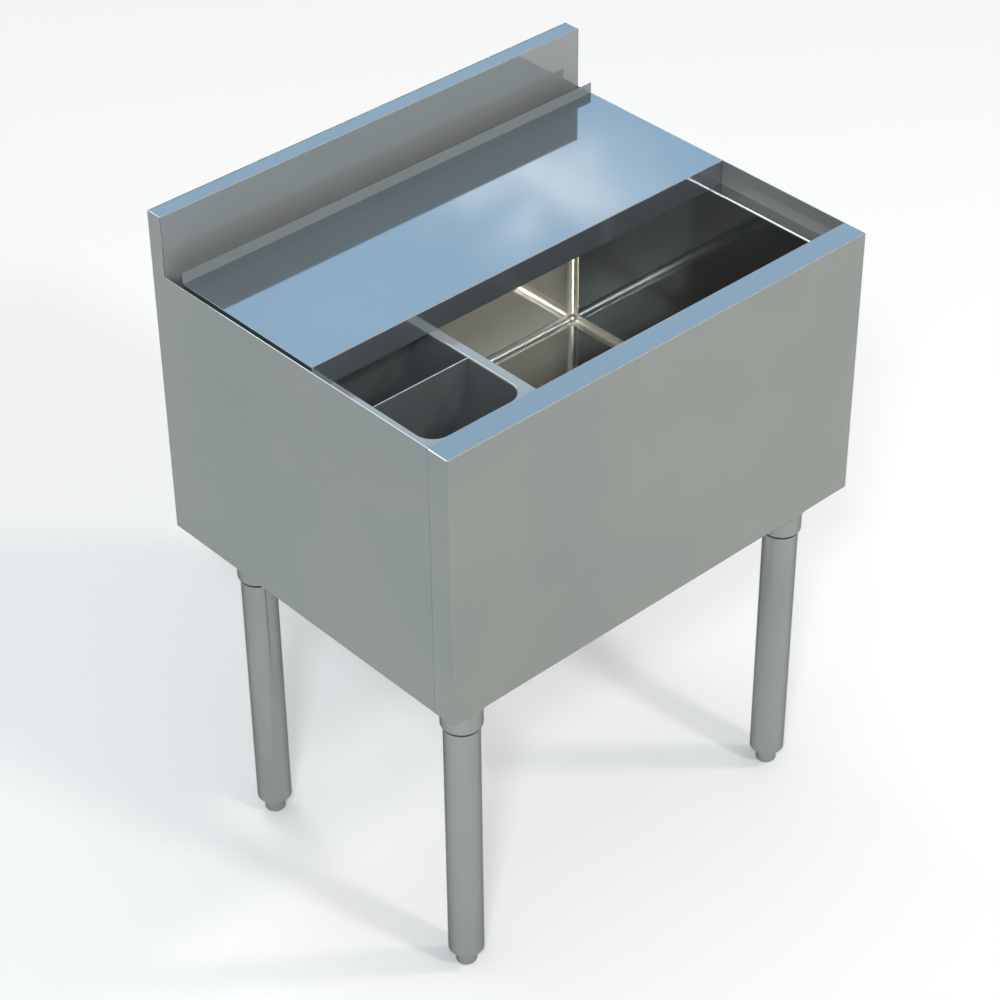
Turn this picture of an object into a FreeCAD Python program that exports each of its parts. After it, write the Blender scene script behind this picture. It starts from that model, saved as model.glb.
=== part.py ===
import FreeCAD, Part
import math
import os

Vector = FreeCAD.Vector

# Underbar ice bin in stainless sheet, in millimetres. The origin is on the floor under the
# middle of the bin, +X is to the right seen from the front, +Y to the rear and +Z up.

# Overall size
WIDTH = 610.0
DEPTH = 472.0
WORKING_HEIGHT = 730.0      # floor to the top edge of the sides, with the feet screwed in
SPLASH_RISE = 75.0          # backsplash above the top edge of the sides
SPLASH_DEPTH = 21.0

# Outer panels
PANEL_SHEET = 1.5
BEND_RADIUS = 2.5
CORNER_RETURN = 28.5        # front panel wrapped round onto each side
RAIL_DEPTH = 30.5           # flat top of the front rail
SPLASH_RETURN = 30.0        # backsplash turned down inside the back panel
TRAY_FLANGE = 15.0          # bottom panel turned up inside the outer panels

# Recessed ledge round the ice tank
LEDGE_DROP = 30.5           # ledge below the top edge of the sides
SIDE_WALL = 20.5            # outer face of a side to the inside of the tank
FRONT_LEDGE = 20.3
REAR_LEDGE = 15.5

# Ice liner
LINER_SHEET = 1.2
LINER_DEPTH = 281.5         # ledge to the tank floor
LINER_COVE = 10.0

# Bottle well in the front left corner of the tank
WELL_SHEET = 1.2
WELL_LEFT_FLANGE = 15.0
WELL_FLANGE = 13.2
WELL_WIDTH = 129.0
WELL_LENGTH = 179.6
WELL_DEPTH = 200.0
WELL_CORNER = 22.0
WELL_COVE = 12.0
WELL_HEM = 10.0             # flange edge turned down on the ice side
DIVIDER_SHEET = 2.0
DIVIDER_TOP_GAP = 1.0       # divider below the well's flange
DIVIDER_FIT = 0.2

# Sliding cover
COVER_SHEET = 1.2
COVER_BEND_RADIUS = 2.0
COVER_DEPTH = 215.0
COVER_SIDE_PLAY = 5.0       # left side panel to the left edge of the cover
COVER_REAR_GAP = 22.5       # cover to the backsplash, in the place shown
COVER_LIP = 13.0            # rear edge turned up
COVER_STAND = 0.5           # cover above the top edge of the sides
COVER_RUN_GAP = 0.3

# Legs, sockets and feet
LEG_DIAMETER = 41.3
LEG_WALL = 1.5
LEG_LEFT_INSET = 32.7
LEG_RIGHT_INSET = 82.0
LEG_FRONT_INSET = 24.0
LEG_REAR_INSET = 104.0
SOCKET_DROP = 28.5          # socket below the body
SOCKET_WALL = 3.0
SOCKET_ROOF = 4.0
SOCKET_FLARE = 6.0
SOCKET_LIP_ROUND = 2.2
SOCKET_FIT = 0.15
SET_SCREW_DIAMETER = 6.0
SET_SCREW_PROUD = 3.0
INSERT_LENGTH = 28.0
INSERT_FIT = 0.1
FOOT_DIAMETER = 24.5
FOOT_HEIGHT = 21.2
FOOT_ROUND = 2.0
FOOT_SEAT_GAP = 0.3
STEM_DIAMETER = 12.0
STEM_LENGTH = 55.0
STEM_CLEARANCE = 0.3

# Bars inside the body that carry the sockets, with their bolts
BAR_WIDTH = 40.0
BAR_SHEET = 3.0
BAR_END_GAP = 2.0
BOLT_DIAMETER = 10.0
BOLT_HEAD_ACROSS = 17.0
BOLT_HEAD_HEIGHT = 6.4
BOLT_CLEARANCE = 0.3
BOLT_TIP = 2.0
NUT_HEIGHT = 8.0

# Insulation
FLOOR_FOAM = 29.3           # bottom sheet of the body to the underside of the tank
FOAM_CLEARANCE = 0.5

# Drain in the middle of the tank floor
PIPE_DIAMETER = 33.4
PIPE_WALL = 3.4
PIPE_CLEARANCE = 0.4
THREAD_RUNOUT = 3.0         # thread below the locknut
SPIGOT_SHOULDER = 0.7       # spigot below the thread, turned down to take a hose
SPIGOT_LENGTH = 30.0
DRAIN_FLANGE_DIAMETER = 70.0
DRAIN_FLANGE_THICK = 4.0
GASKET_THICK = 2.0
WASHER_DIAMETER = 56.0
WASHER_THICK = 2.0
LOCKNUT_ACROSS = 46.0
LOCKNUT_HEIGHT = 10.0
STRAINER_DIAMETER = 44.0
STRAINER_THICK = 1.5
STRAINER_FIT = 0.3
STRAINER_HOLE = 4.0
STRAINER_INNER_HOLES = 6
STRAINER_INNER_RING = 5.5   # ring radius
STRAINER_OUTER_HOLES = 10
STRAINER_OUTER_RING = 10.5

# Main planes, from the driving dimensions
left = -WIDTH / 2
right = WIDTH / 2
front = -DEPTH / 2
rear = DEPTH / 2
body_top = WORKING_HEIGHT
splash_top = body_top + SPLASH_RISE
splash_front = rear - SPLASH_DEPTH
inner_left = left + PANEL_SHEET
inner_right = right - PANEL_SHEET
inner_front = front + PANEL_SHEET
inner_rear = rear - PANEL_SHEET
rail_rear = front + RAIL_DEPTH
ledge = body_top - LEDGE_DROP
ledge_under = ledge - LINER_SHEET
tank_left = left + SIDE_WALL
tank_right = right - SIDE_WALL
tank_front = rail_rear + FRONT_LEDGE
tank_rear = splash_front - REAR_LEDGE
tank_floor = ledge - LINER_DEPTH
tank_floor_under = tank_floor - LINER_SHEET
tray_top = tank_floor_under - FLOOR_FOAM
body_bottom = tray_top - PANEL_SHEET
leg_bottom = FOOT_HEIGHT + FOOT_SEAT_GAP
socket_ceiling = body_bottom - SOCKET_ROOF
socket_bottom = body_bottom - SOCKET_DROP
bar_top = tray_top + BAR_SHEET
well_left = tank_left + WELL_LEFT_FLANGE
well_right = well_left + WELL_WIDTH
well_front = tank_front + WELL_FLANGE
well_rear = well_front + WELL_LENGTH
well_floor = ledge - WELL_DEPTH
well_plate_right = well_right + WELL_FLANGE
well_plate_rear = well_rear + WELL_FLANGE
drain_x = (tank_left + tank_right) / 2
drain_y = (tank_front + tank_rear) / 2
drain_seat = tank_floor + GASKET_THICK
drain_mouth = drain_seat + DRAIN_FLANGE_THICK
strainer_seat = drain_mouth - STRAINER_THICK
washer_bottom = body_bottom - WASHER_THICK
locknut_bottom = washer_bottom - LOCKNUT_HEIGHT
thread_bottom = locknut_bottom - THREAD_RUNOUT
pipe_bottom = thread_bottom - SPIGOT_LENGTH

LEGS = {
    "front_left": (left + LEG_LEFT_INSET, front + LEG_FRONT_INSET),
    "front_right": (right - LEG_RIGHT_INSET, front + LEG_FRONT_INSET),
    "rear_left": (left + LEG_LEFT_INSET, rear - LEG_REAR_INSET),
    "rear_right": (right - LEG_RIGHT_INSET, rear - LEG_REAR_INSET),
}
LEG_COLUMNS = {
    "left": left + LEG_LEFT_INSET,
    "right": right - LEG_RIGHT_INSET,
}


def box(x0, x1, y0, y1, z0, z1):
    """Box between two opposite corners."""
    return Part.makeBox(x1 - x0, y1 - y0, z1 - z0, Vector(x0, y0, z0))


def rod(x, y, z0, z1, diameter):
    """Upright cylinder."""
    return Part.makeCylinder(diameter / 2, z1 - z0, Vector(x, y, z0))


def ring(x, y, z0, z1, outer, inner):
    """Upright tube."""
    return rod(x, y, z0, z1, outer).cut(rod(x, y, z0, z1, inner))


def hexagon(x, y, z0, z1, across):
    """Upright hexagonal bar, across its flats."""
    radius = across / math.sqrt(3)
    turns = [math.radians(60 * step) for step in range(7)]
    corners = [Vector(x + radius * math.cos(a), y + radius * math.sin(a), z0) for a in turns]
    return Part.Face(Part.makePolygon(corners)).extrude(Vector(0, 0, z1 - z0))


def union(shapes):
    """One clean solid from touching or crossing shapes."""
    return shapes[0].fuse(shapes[1:]).removeSplitter()


def edges_where(shape, test):
    """Edges whose two end points both pass the test."""
    return [edge for edge in shape.Edges if all(test(vertex.Point) for vertex in edge.Vertexes)]


def near(a, b):
    """Same place, to a thousandth of a millimetre."""
    return abs(a - b) < 0.001


def upright_edges(edges):
    """Edges that run straight up."""
    return [edge for edge in edges if near(abs(edge.tangentAt(edge.FirstParameter).z), 1)]


def coved_box(x0, x1, y0, y1, z0, z1, corner, cove):
    """Box with rounded upright corners and a rounded bottom edge."""
    shape = box(x0, x1, y0, y1, z0, z1)
    shape = shape.makeFillet(corner, upright_edges(shape.Edges))
    return shape.makeFillet(cove, edges_where(shape, lambda p: near(p.z, z0)))


def side_panel(outer_x, inner_x):
    """Flat side sheet with an ear that closes the end of the backsplash."""
    x0 = min(outer_x, inner_x)
    x1 = max(outer_x, inner_x)
    sheet = box(x0, x1, front + CORNER_RETURN, rear, body_bottom, body_top)
    ear = box(x0, x1, splash_front, rear, body_top, splash_top)
    return union([sheet, ear])


def front_panel(sides):
    """Front sheet wrapped round both corners, with the flat rail folded along its top."""
    face = box(left, right, front, inner_front, body_bottom, body_top)
    left_return = box(left, inner_left, front, front + CORNER_RETURN, body_bottom, body_top)
    right_return = box(inner_right, right, front, front + CORNER_RETURN, body_bottom, body_top)
    rail = box(left, right, front, rail_rear, body_top - PANEL_SHEET, body_top)
    drop = box(inner_left, inner_right, rail_rear - PANEL_SHEET, rail_rear, ledge_under, body_top)
    panel = union([face, left_return, right_return, rail, drop]).cut(sides).removeSplitter()
    corners = upright_edges(edges_where(panel, lambda p: near(abs(p.x), right) and near(p.y, front)))
    top_edge = edges_where(panel, lambda p: near(p.y, front) and near(p.z, body_top))
    rail_edge = edges_where(panel, lambda p: near(p.y, rail_rear) and near(p.z, body_top))
    return panel.makeFillet(BEND_RADIUS, corners + top_edge + rail_edge)


def backsplash():
    """Folded channel between the ears: front face, top and a short return at the back."""
    face = box(inner_left, inner_right, splash_front, splash_front + PANEL_SHEET, ledge_under, splash_top)
    top = box(inner_left, inner_right, splash_front, inner_rear, splash_top - PANEL_SHEET, splash_top)
    back = box(inner_left, inner_right, inner_rear - PANEL_SHEET, inner_rear,
               splash_top - SPLASH_RETURN, splash_top)
    channel = union([face, top, back])
    fold = edges_where(channel, lambda p: near(p.y, splash_front) and near(p.z, splash_top))
    return channel.makeFillet(BEND_RADIUS, fold)


def bottom_panel():
    """Shallow tray inside the outer panels, with holes for the drain and the socket bolts."""
    tray = box(inner_left, inner_right, inner_front, inner_rear, body_bottom, body_bottom + TRAY_FLANGE)
    hollow = box(inner_left + PANEL_SHEET, inner_right - PANEL_SHEET, inner_front + PANEL_SHEET,
                 inner_rear - PANEL_SHEET, tray_top, body_bottom + TRAY_FLANGE)
    holes = [rod(x, y, body_bottom, tray_top, BOLT_DIAMETER + 2 * BOLT_CLEARANCE) for x, y in LEGS.values()]
    holes.append(rod(drain_x, drain_y, body_bottom, tray_top, PIPE_DIAMETER + 2 * PIPE_CLEARANCE))
    return tray.cut(hollow).cut(holes)


def ice_liner():
    """Coved tank hung from a flat ledge that reaches out to the outer panels."""
    shell = coved_box(tank_left - LINER_SHEET, tank_right + LINER_SHEET, tank_front - LINER_SHEET,
                      tank_rear + LINER_SHEET, tank_floor_under, ledge,
                      LINER_COVE + LINER_SHEET, LINER_COVE + LINER_SHEET)
    flange = box(inner_left, inner_right, rail_rear, splash_front, ledge_under, ledge)
    cavity = coved_box(tank_left, tank_right, tank_front, tank_rear, tank_floor, ledge,
                       LINER_COVE, LINER_COVE)
    drain_hole = rod(drain_x, drain_y, tank_floor_under, tank_floor, PIPE_DIAMETER + 2 * PIPE_CLEARANCE)
    return union([shell, flange]).cut([cavity, drain_hole])


def bottle_well(liner):
    """Open box hung in the tank from a flat flange that lies flush with the ledge."""
    plate = box(tank_left, well_plate_right, tank_front, well_plate_rear, ledge - WELL_SHEET, ledge)
    hem_bottom = ledge - WELL_HEM
    right_hem = box(well_plate_right - WELL_SHEET, well_plate_right, tank_front, well_plate_rear,
                    hem_bottom, ledge)
    rear_hem = box(tank_left, well_plate_right, well_plate_rear - WELL_SHEET, well_plate_rear,
                   hem_bottom, ledge)
    shell = coved_box(well_left - WELL_SHEET, well_right + WELL_SHEET, well_front - WELL_SHEET,
                      well_rear + WELL_SHEET, well_floor - WELL_SHEET, ledge,
                      WELL_CORNER + WELL_SHEET, WELL_COVE + WELL_SHEET)
    cavity = coved_box(well_left, well_right, well_front, well_rear, well_floor, ledge,
                       WELL_CORNER, WELL_COVE)
    return union([plate, right_hem, rear_hem, shell]).cut([cavity, liner])


def bottle_divider():
    """Upright plate that parts the well into two, cut to the well's coves."""
    middle = (well_front + well_rear) / 2
    plate = box(well_left, well_right, middle - DIVIDER_SHEET / 2, middle + DIVIDER_SHEET / 2,
                well_floor, ledge - DIVIDER_TOP_GAP)
    room = coved_box(well_left + DIVIDER_FIT, well_right - DIVIDER_FIT, well_front, well_rear,
                     well_floor + DIVIDER_FIT, ledge, WELL_CORNER, WELL_COVE)
    return plate.common(room)


def sliding_cover():
    """Shallow inverted pan that runs on the side ledges, with its rear edge turned up."""
    x0 = inner_left + COVER_SIDE_PLAY
    x1 = inner_right - COVER_RUN_GAP
    y1 = splash_front - COVER_REAR_GAP
    y0 = y1 - COVER_DEPTH
    z0 = ledge + COVER_RUN_GAP
    z1 = body_top + COVER_STAND
    top = box(x0, x1, y0, y1, z1 - COVER_SHEET, z1)
    front_flange = box(x0, x1, y0, y0 + COVER_SHEET, z0, z1)
    left_flange = box(x0, x0 + COVER_SHEET, y0, y1, z0, z1)
    right_flange = box(x1 - COVER_SHEET, x1, y0, y1, z0, z1)
    lip = box(x0, x1, y1 - COVER_SHEET, y1, z1 - COVER_SHEET, z1 + COVER_LIP)
    pan = union([top, front_flange, left_flange, right_flange, lip])
    fold = edges_where(pan, lambda p: near(p.y, y0) and near(p.z, z1))
    return pan.makeFillet(COVER_BEND_RADIUS, fold)


def foam_floor():
    """Insulation board in the bottom tray, cut out for the bars, the nuts and the drain."""
    board = box(inner_left + PANEL_SHEET, inner_right - PANEL_SHEET, inner_front + PANEL_SHEET,
                inner_rear - PANEL_SHEET, tray_top, tank_floor_under)
    cuts = []
    for x in LEG_COLUMNS.values():
        half = BAR_WIDTH / 2 + FOAM_CLEARANCE
        cuts.append(box(x - half, x + half, front, rear, tray_top, bar_top))
    nut_pocket = 2 * BOLT_HEAD_ACROSS / math.sqrt(3) + 2 * FOAM_CLEARANCE
    pocket_top = bar_top + NUT_HEIGHT + BOLT_TIP + FOAM_CLEARANCE
    for x, y in LEGS.values():
        cuts.append(rod(x, y, bar_top, pocket_top, nut_pocket))
    cuts.append(rod(drain_x, drain_y, tray_top, tank_floor_under, PIPE_DIAMETER + 2 * FOAM_CLEARANCE))
    return board.cut(cuts)


def foam_walls():
    """Insulation boards round the tank, standing on the floor board."""
    outer_left = tank_left - LINER_SHEET
    outer_right = tank_right + LINER_SHEET
    outer_front = tank_front - LINER_SHEET
    outer_rear = tank_rear + LINER_SHEET
    front_board = box(inner_left, inner_right, inner_front, outer_front, tank_floor_under, ledge_under)
    rail_fill = box(inner_left, inner_right, inner_front, rail_rear - PANEL_SHEET,
                    ledge_under, body_top - PANEL_SHEET)
    return {
        "foam_front": union([front_board, rail_fill]),
        "foam_rear": box(inner_left, inner_right, outer_rear, inner_rear, tank_floor_under, ledge_under),
        "foam_left": box(inner_left, outer_left, outer_front, outer_rear, tank_floor_under, ledge_under),
        "foam_right": box(outer_right, inner_right, outer_front, outer_rear, tank_floor_under, ledge_under),
    }


def leg_bar(x):
    """Flat bar on the tray floor that joins the front and rear socket of one side."""
    bar = box(x - BAR_WIDTH / 2, x + BAR_WIDTH / 2, inner_front + PANEL_SHEET + BAR_END_GAP,
              inner_rear - PANEL_SHEET - BAR_END_GAP, tray_top, bar_top)
    holes = [rod(bolt_x, y, tray_top, bar_top, BOLT_DIAMETER + 2 * BOLT_CLEARANCE)
             for bolt_x, y in LEGS.values() if near(bolt_x, x)]
    return bar.cut(holes)


def leg_socket(x, y):
    """Cup under the body that takes the leg, flared at its top and trimmed to the front face."""
    bore = LEG_DIAMETER / 2 + SOCKET_FIT
    outer = bore + SOCKET_WALL
    waist = body_bottom - SOCKET_FLARE
    arc_middle = SOCKET_FLARE * (1 - math.sqrt(0.5))
    rim_in = Vector(bore, 0, socket_bottom)
    rim_out = Vector(outer - SOCKET_LIP_ROUND, 0, socket_bottom)
    rim_side = Vector(outer, 0, socket_bottom + SOCKET_LIP_ROUND)
    rim_middle = Vector(outer - SOCKET_LIP_ROUND * (1 - math.sqrt(0.5)), 0,
                        socket_bottom + SOCKET_LIP_ROUND * (1 - math.sqrt(0.5)))
    waist_point = Vector(outer, 0, waist)
    flare_middle = Vector(outer + arc_middle, 0, body_bottom - arc_middle)
    flare_top = Vector(outer + SOCKET_FLARE, 0, body_bottom)
    hole_top = Vector(BOLT_DIAMETER / 2 + BOLT_CLEARANCE, 0, body_bottom)
    hole_low = Vector(BOLT_DIAMETER / 2 + BOLT_CLEARANCE, 0, socket_ceiling)
    bore_top = Vector(bore, 0, socket_ceiling)
    profile = Part.Wire([
        Part.makeLine(rim_in, rim_out),
        Part.Arc(rim_out, rim_middle, rim_side).toShape(),
        Part.makeLine(rim_side, waist_point),
        Part.Arc(waist_point, flare_middle, flare_top).toShape(),
        Part.makeLine(flare_top, hole_top),
        Part.makeLine(hole_top, hole_low),
        Part.makeLine(hole_low, bore_top),
        Part.makeLine(bore_top, rim_in),
    ])
    cup = Part.Face(profile).revolve(Vector(0, 0, 0), Vector(0, 0, 1), 360)
    cup.translate(Vector(x, y, 0))
    footprint = box(left, right, front, rear, socket_bottom, body_bottom)
    return cup.common(footprint).cut(set_screw(x, y))


def set_screw(x, y):
    """Headless screw through the inner side of a socket, against the leg."""
    inward = -1 if x > 0 else 1
    start = LEG_DIAMETER / 2
    length = SOCKET_FIT + SOCKET_WALL + SET_SCREW_PROUD
    height = (socket_bottom + socket_ceiling) / 2
    screw = Part.makeCylinder(SET_SCREW_DIAMETER / 2, length, Vector(x + inward * start, y, height),
                              Vector(inward, 0, 0))
    return screw.cut(rod(x, y, socket_bottom, socket_ceiling, LEG_DIAMETER))


def leg_tube(x, y):
    """Leg from the foot insert up to the roof of its socket."""
    return ring(x, y, leg_bottom, socket_ceiling, LEG_DIAMETER, LEG_DIAMETER - 2 * LEG_WALL)


def foot_insert(x, y):
    """Threaded plug in the lower end of a leg."""
    outer = LEG_DIAMETER - 2 * LEG_WALL - 2 * INSERT_FIT
    return ring(x, y, leg_bottom, leg_bottom + INSERT_LENGTH, outer, STEM_DIAMETER + 2 * STEM_CLEARANCE)


def levelling_foot(x, y):
    """Round foot on a threaded stem."""
    nose = rod(x, y, 0, FOOT_HEIGHT, FOOT_DIAMETER)
    nose = nose.makeFillet(FOOT_ROUND, edges_where(nose, lambda p: near(p.z, 0)))
    stem = rod(x, y, FOOT_HEIGHT, FOOT_HEIGHT + STEM_LENGTH, STEM_DIAMETER)
    return union([nose, stem])


def socket_bolt(x, y):
    """Bolt up through a socket, the tray and the bar."""
    head = hexagon(x, y, socket_ceiling - BOLT_HEAD_HEIGHT, socket_ceiling, BOLT_HEAD_ACROSS)
    shank = rod(x, y, socket_ceiling, bar_top + NUT_HEIGHT + BOLT_TIP, BOLT_DIAMETER)
    return union([head, shank])


def socket_nut(x, y):
    """Nut on the bar, over a socket."""
    hole = rod(x, y, bar_top, bar_top + NUT_HEIGHT, BOLT_DIAMETER)
    return hexagon(x, y, bar_top, bar_top + NUT_HEIGHT, BOLT_HEAD_ACROSS).cut(hole)


def drain_body():
    """Flanged pipe through the tank floor, with a strainer recess and a spigot for the hose."""
    flange = rod(drain_x, drain_y, drain_seat, drain_mouth, DRAIN_FLANGE_DIAMETER)
    pipe = rod(drain_x, drain_y, thread_bottom, drain_seat, PIPE_DIAMETER)
    spigot = rod(drain_x, drain_y, pipe_bottom, thread_bottom, PIPE_DIAMETER - 2 * SPIGOT_SHOULDER)
    recess = rod(drain_x, drain_y, strainer_seat, drain_mouth, STRAINER_DIAMETER + 2 * STRAINER_FIT)
    bore = rod(drain_x, drain_y, pipe_bottom, drain_mouth, PIPE_DIAMETER - 2 * PIPE_WALL)
    return union([flange, pipe, spigot]).cut([recess, bore])


def drain_strainer():
    """Loose plate with rings of holes over the drain."""
    plate = rod(drain_x, drain_y, strainer_seat, drain_mouth, STRAINER_DIAMETER)
    holes = []
    rings = ((STRAINER_INNER_HOLES, STRAINER_INNER_RING), (STRAINER_OUTER_HOLES, STRAINER_OUTER_RING))
    for count, radius in rings:
        for step in range(count):
            turn = 2 * math.pi * step / count
            holes.append(rod(drain_x + radius * math.cos(turn), drain_y + radius * math.sin(turn),
                             strainer_seat, drain_mouth, STRAINER_HOLE))
    return plate.cut(holes)


def drain_hardware():
    """Gasket under the flange, and the washer and locknut under the body."""
    hole = PIPE_DIAMETER + 2 * PIPE_CLEARANCE
    nut = hexagon(drain_x, drain_y, locknut_bottom, washer_bottom, LOCKNUT_ACROSS)
    return {
        "drain_gasket": ring(drain_x, drain_y, tank_floor, drain_seat, DRAIN_FLANGE_DIAMETER, hole),
        "drain_washer": ring(drain_x, drain_y, washer_bottom, body_bottom, WASHER_DIAMETER, hole),
        "drain_locknut": nut.cut(rod(drain_x, drain_y, locknut_bottom, washer_bottom, PIPE_DIAMETER)),
    }


def all_nodes():
    """Every piece of the bin by its node name."""
    left_side = side_panel(left, inner_left)
    right_side = side_panel(right, inner_right)
    liner = ice_liner()
    nodes = {
        "front_panel": front_panel([left_side, right_side]),
        "left_side_panel": left_side,
        "right_side_panel": right_side,
        "back_panel": box(inner_left, inner_right, inner_rear, rear, body_bottom, splash_top),
        "backsplash": backsplash(),
        "bottom_panel": bottom_panel(),
        "ice_liner": liner,
        "bottle_well": bottle_well(liner),
        "bottle_divider": bottle_divider(),
        "sliding_cover": sliding_cover(),
        "foam_floor": foam_floor(),
        "drain_body": drain_body(),
        "drain_strainer": drain_strainer(),
    }
    nodes.update(foam_walls())
    nodes.update(drain_hardware())
    for side, x in LEG_COLUMNS.items():
        nodes["leg_bar_" + side] = leg_bar(x)
    for place, (x, y) in LEGS.items():
        nodes["socket_" + place] = leg_socket(x, y)
        nodes["leg_" + place] = leg_tube(x, y)
        nodes["insert_" + place] = foot_insert(x, y)
        nodes["foot_" + place] = levelling_foot(x, y)
    for name, maker in (("socket_bolts", socket_bolt), ("socket_nuts", socket_nut),
                        ("socket_set_screws", set_screw)):
        nodes[name] = Part.makeCompound([maker(x, y) for x, y in LEGS.values()])
    return nodes


os.makedirs("parts", exist_ok=True)
for node, shape in all_nodes().items():
    shape.exportStep(os.path.join("parts", node + ".step"))
    print(node, len(shape.Solids), "valid" if shape.isValid() else "NOT VALID", round(shape.Volume))
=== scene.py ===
import math
import bmesh
import bpy
from mathutils import Matrix, Vector


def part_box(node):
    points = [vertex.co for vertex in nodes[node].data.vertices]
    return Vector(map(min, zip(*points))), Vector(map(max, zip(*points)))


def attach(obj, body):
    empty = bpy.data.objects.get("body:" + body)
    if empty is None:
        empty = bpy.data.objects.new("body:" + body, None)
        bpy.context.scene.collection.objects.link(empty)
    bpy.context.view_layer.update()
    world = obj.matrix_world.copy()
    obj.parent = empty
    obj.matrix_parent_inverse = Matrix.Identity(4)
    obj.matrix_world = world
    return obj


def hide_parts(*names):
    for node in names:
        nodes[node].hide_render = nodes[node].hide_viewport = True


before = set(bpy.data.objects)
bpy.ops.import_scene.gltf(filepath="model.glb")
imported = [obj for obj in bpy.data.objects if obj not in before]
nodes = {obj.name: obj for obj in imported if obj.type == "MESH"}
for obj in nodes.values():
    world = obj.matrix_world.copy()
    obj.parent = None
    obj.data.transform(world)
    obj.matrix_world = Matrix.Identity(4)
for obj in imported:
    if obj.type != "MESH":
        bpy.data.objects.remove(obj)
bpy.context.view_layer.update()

# Units, limits and the fineness of round shapes
MM = 0.001
TOUCH = 0.02 * MM
FLAT_ABOVE = 0.999
SLANTED_ABOVE = 0.1
UPWARD_ABOVE = 0.3
EDGE_ANGLE = math.radians(40)
SHARP_ANGLE = math.radians(50)
QUARTER_TURN = math.radians(90)
CORNER_STEPS = 10
COVE_STEPS = 8
ROUND_STEPS = 6
FOLD_STEPS = 4
EDGE_STEPS = 3
CHAMFER_STEPS = 2
HOLE_STEPS = 48
TURN_STEPS = 72

# Sheet, folds and coves, in metres
PANEL_SHEET = 1.5 * MM
LINER_SHEET = 1.2 * MM
PANEL_FOLD = 0.9 * MM
SHEET_EDGE = 0.35 * MM
SIDE_EDGE = 0.25 * MM
CORNER_RETURN = 28.5 * MM
SEAM_GAP = 0.45 * MM
RAIL_STEP = 0.08 * MM
SPLASH_RETURN = 30 * MM
COVER_LIP = 13 * MM
COVER_FOLD = 0.7 * MM
SIDE_WALL = 20.5 * MM
FRONT_LEDGE = 20.3 * MM
REAR_LEDGE = 15.5 * MM
LINER_COVE = 10 * MM
LINER_FLOOR_COVE = 9.7 * MM
MOUTH_FOLD = 1.8 * MM
DRAIN_HOLE = 34.2 * MM
WELL_LEFT_FLANGE = 15 * MM
WELL_FLANGE = 13.2 * MM
WELL_CORNER = 22 * MM
WELL_COVE = 12 * MM
WELL_HEM = 10 * MM
WELL_LAP = 2.5 * MM
WELL_STAND = 0.1 * MM
DIVIDER_ROUND = 0.9 * MM
DIVIDER_DROP = 1 * MM

# Main planes of the bin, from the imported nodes
front_low, front_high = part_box("front_panel")
side_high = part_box("left_side_panel")[1]
splash_low, splash_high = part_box("backsplash")
tray_low, tray_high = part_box("bottom_panel")
back_low, back_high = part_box("back_panel")
liner_low, liner_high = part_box("ice_liner")
well_low, well_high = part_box("bottle_well")
cover_low, cover_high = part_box("sliding_cover")
left, right = front_low.x, front_high.x
front, rear = front_low.y, side_high.y
rail_rear = front_high.y
splash_front = splash_low.y
inner_left, inner_right = splash_low.x, splash_high.x
body_bottom, body_top = front_low.z, front_high.z
splash_top = side_high.z
ledge = liner_high.z
tank_left, tank_right = left + SIDE_WALL, right - SIDE_WALL
tank_front, tank_rear = rail_rear + FRONT_LEDGE, splash_front - REAR_LEDGE
tank_floor = liner_low.z + LINER_SHEET

PLACES = ("front_left", "front_right", "rear_left", "rear_right")


# Mesh helpers
def middle_of(node):
    """Middle of a node, which is on the upright axis of a round one."""
    low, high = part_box(node)
    return (low + high) / 2


def radius_of(node):
    """Radius of a round node."""
    low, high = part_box(node)
    return (high.x - low.x) / 2


def on_planes(point, planes):
    """True where a point lies on each named plane."""
    return all(abs(getattr(point, axis) - value) < TOUCH for axis, value in planes.items())


def edges_on(bm, **planes):
    """Edges that lie on each named plane."""
    return [edge for edge in bm.edges if all(on_planes(vert.co, planes) for vert in edge.verts)]


def faces_on(bm, **planes):
    """Faces that lie on each named plane."""
    return [face for face in bm.faces if all(on_planes(vert.co, planes) for vert in face.verts)]


def upright_edges(bm):
    """Edges that run straight up."""
    return [edge for edge in bm.edges
            if (edge.verts[0].co - edge.verts[1].co).xy.length < TOUCH]


def block(bm, low, high):
    """Box between two opposite corners."""
    low = Vector(low)
    high = Vector(high)
    place = Matrix.Translation((low + high) / 2) @ Matrix.Diagonal((*(high - low), 1.0))
    return bmesh.ops.create_cube(bm, size=1.0, matrix=place)["verts"]


def open_block(bm, low, high, **planes):
    """Box with the faces on the named planes left out, one plane for each name."""
    block(bm, low, high)
    for axis, value in planes.items():
        bmesh.ops.delete(bm, geom=faces_on(bm, **{axis: value}), context="FACES")


def round_edges(bm, edges, radius, segments):
    """Rounded fold or corner along the edges."""
    bmesh.ops.bevel(bm, geom=edges, offset=radius, offset_type="OFFSET", segments=segments,
                    profile=0.5, affect="EDGES", clamp_overlap=True, material=-1)


def pull_edges(bm, edges, step):
    """New sheet pulled out of the edges; gives the new vertices."""
    made = bmesh.ops.extrude_edge_only(bm, edges=edges)["geom"]
    verts = [item for item in made if isinstance(item, bmesh.types.BMVert)]
    bmesh.ops.translate(bm, verts=verts, vec=step)
    return verts


def rectangle(bm, low, high, z):
    """Loop of four edges; gives the edges."""
    corners = [(low[0], low[1]), (high[0], low[1]), (high[0], high[1]), (low[0], high[1])]
    verts = [bm.verts.new((x, y, z)) for x, y in corners]
    return [bm.edges.new((verts[step - 1], verts[step])) for step in range(4)]


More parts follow.
